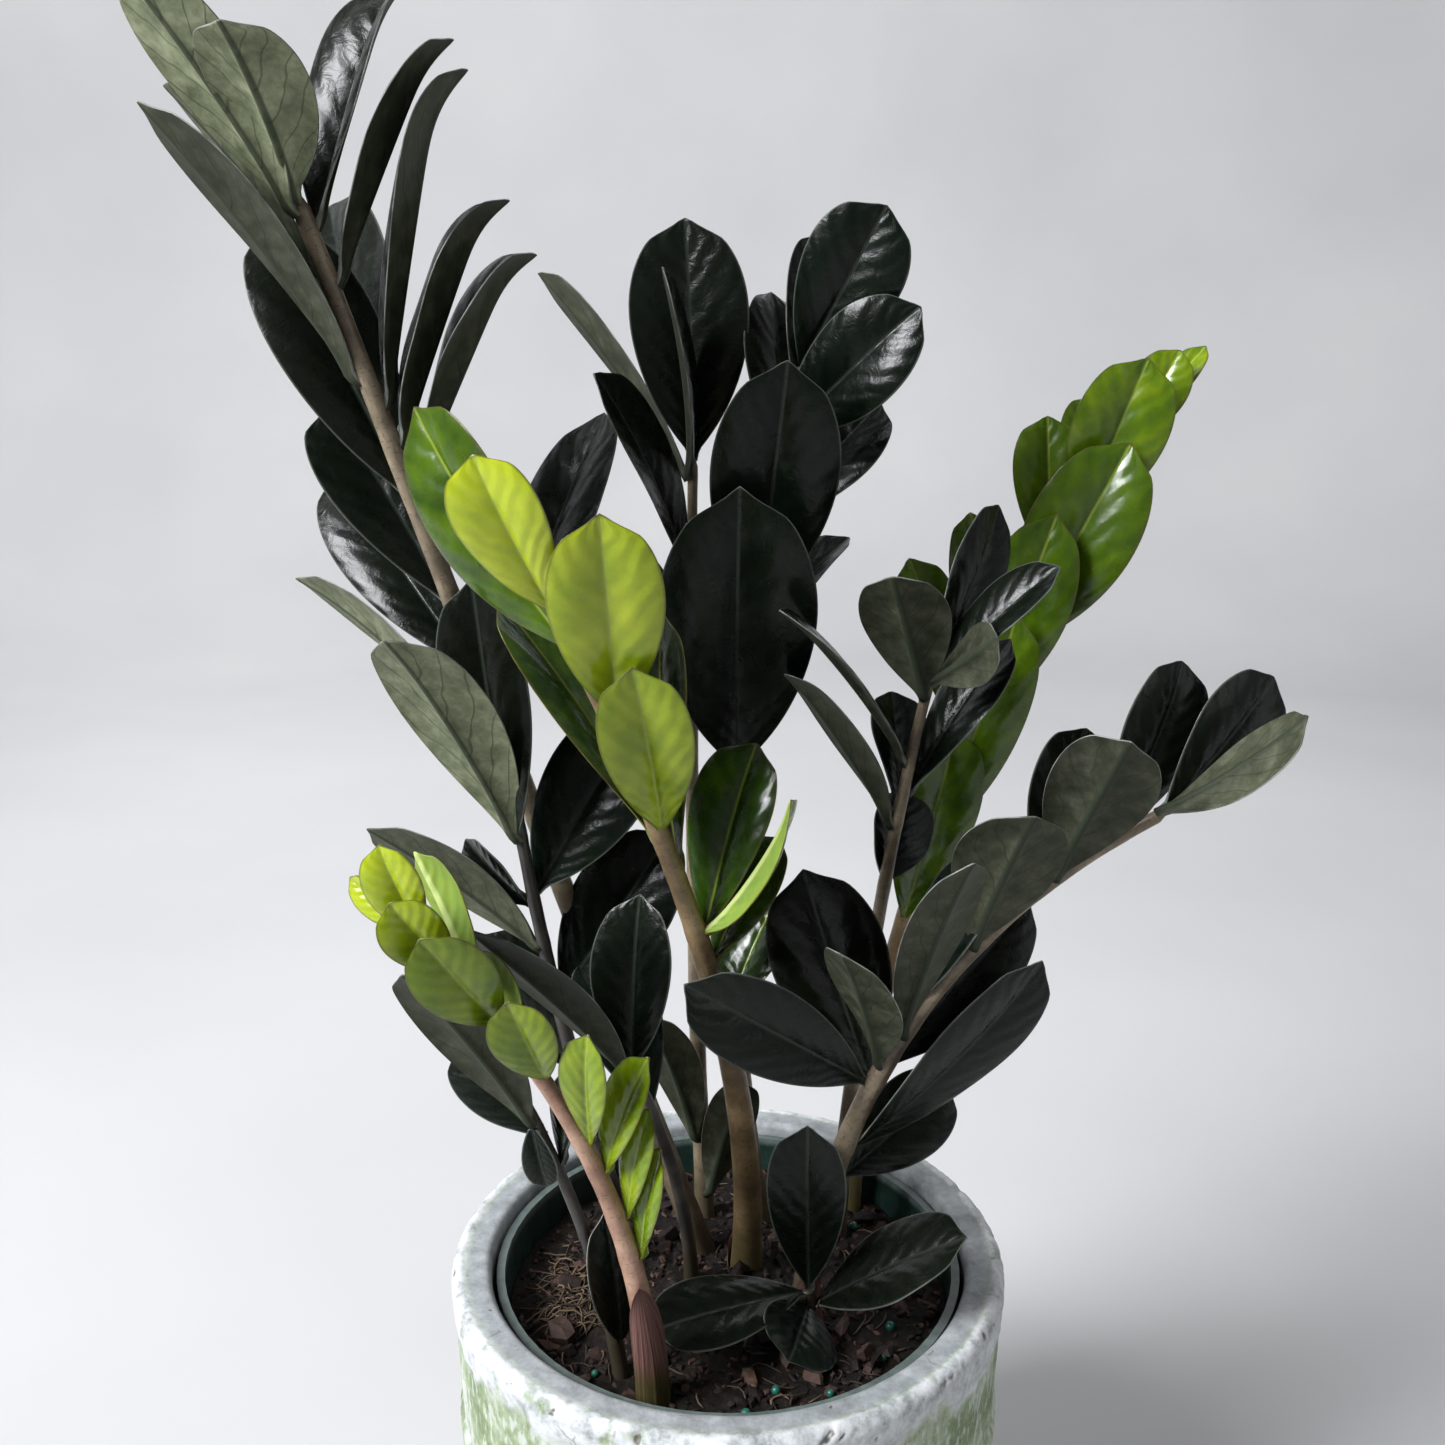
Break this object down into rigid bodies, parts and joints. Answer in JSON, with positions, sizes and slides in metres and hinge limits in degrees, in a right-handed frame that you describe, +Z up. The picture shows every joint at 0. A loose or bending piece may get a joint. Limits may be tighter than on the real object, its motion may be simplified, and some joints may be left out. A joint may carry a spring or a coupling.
{
  "type": "potted zz plant",
  "caption": "Upright fronds of glossy oval leaflets, dark and lime green, growing from soil in a nursery pot inside a rough-glazed cylindrical cachepot.",
  "frame": {"origin": "centre of the cachepot's flat base", "axes": "+Z up along the pot's axis, -Y towards the front of the plant, +X to the right seen from the front"},
  "size_m": [0.2853, 0.177, 0.5291],
  "materials": {
    "glaze": "rough chipped white glaze over sage green",
    "green_plastic": "satin",
    "potting_mix": "loose dark peat and bark",
    "sheath": "dry, finely ribbed",
    "mature_stem": "satin, finely speckled",
    "young_stem": "satin, pinkish tan",
    "mature_leaf": "glossy above, matt below",
    "young_leaf": "glossy"
  },
  "bodies": {
    "root": {"cachepot": "glaze", "leaflet_back_centre_1": "mature_leaf", "leaflet_back_centre_3": "mature_leaf", "leaflet_back_centre_4": "mature_leaf", "leaflet_centre_1": "mature_leaf", "leaflet_centre_2": "mature_leaf", "leaflet_centre_4": "mature_leaf", "leaflet_centre_5": "mature_leaf", "leaflet_centre_6": "mature_leaf", "leaflet_front_inner_1": "mature_leaf", "leaflet_front_inner_2": "mature_leaf", "leaflet_left_inner_1": "mature_leaf", "leaflet_lime_centre_1": "young_leaf", "leaflet_lime_centre_2": "young_leaf", "leaflet_lime_centre_3": "young_leaf", "leaflet_lime_centre_4": "young_leaf", "leaflet_lime_centre_5": "young_leaf", "leaflet_lime_front_4": "young_leaf", "leaflet_lime_front_5": "young_leaf", "leaflet_lime_front_7": "young_leaf", "leaflet_lime_front_8": "young_leaf", "leaflet_lime_right_10": "young_leaf", "leaflet_lime_right_3": "young_leaf", "leaflet_lime_right_4": "young_leaf", "leaflet_low_front_2": "mature_leaf", "leaflet_low_front_3": "mature_leaf", "leaflet_low_left_1": "mature_leaf", "leaflet_right_inner_1": "mature_leaf", "leaflet_right_inner_2": "mature_leaf", "leaflet_right_inner_7": "mature_leaf", "leaflet_right_outer_1": "mature_leaf", "leaflet_right_outer_10": "mature_leaf", "leaflet_right_outer_12": "mature_leaf", "leaflet_right_outer_13": "mature_leaf", "leaflet_right_outer_4": "mature_leaf", "leaflet_right_outer_5": "mature_leaf", "leaflet_tall_left_1": "mature_leaf", "leaflet_tall_left_10": "mature_leaf", "leaflet_tall_left_11": "mature_leaf", "leaflet_tall_left_12": "mature_leaf", "leaflet_tall_left_4": "mature_leaf", "leaflet_tall_left_5": "mature_leaf", "leaflet_tall_left_6": "mature_leaf", "leaflet_tall_left_8": "mature_leaf", "leaflet_tall_left_9": "mature_leaf", "nursery_pot": "green_plastic", "sheath_lime_front": "sheath", "soil": "potting_mix", "stem_back_centre": "mature_stem", "stem_centre": "mature_stem", "stem_front_inner": "mature_stem", "stem_left_inner": "mature_stem", "stem_lime_centre": "young_stem", "stem_lime_front": "young_stem", "stem_lime_right": "young_stem", "stem_low_front": "mature_stem", "stem_low_left": "mature_stem", "stem_right_inner": "mature_stem", "stem_right_outer": "mature_stem", "stem_tall_left": "mature_stem"}
  },
  "joints": []
}
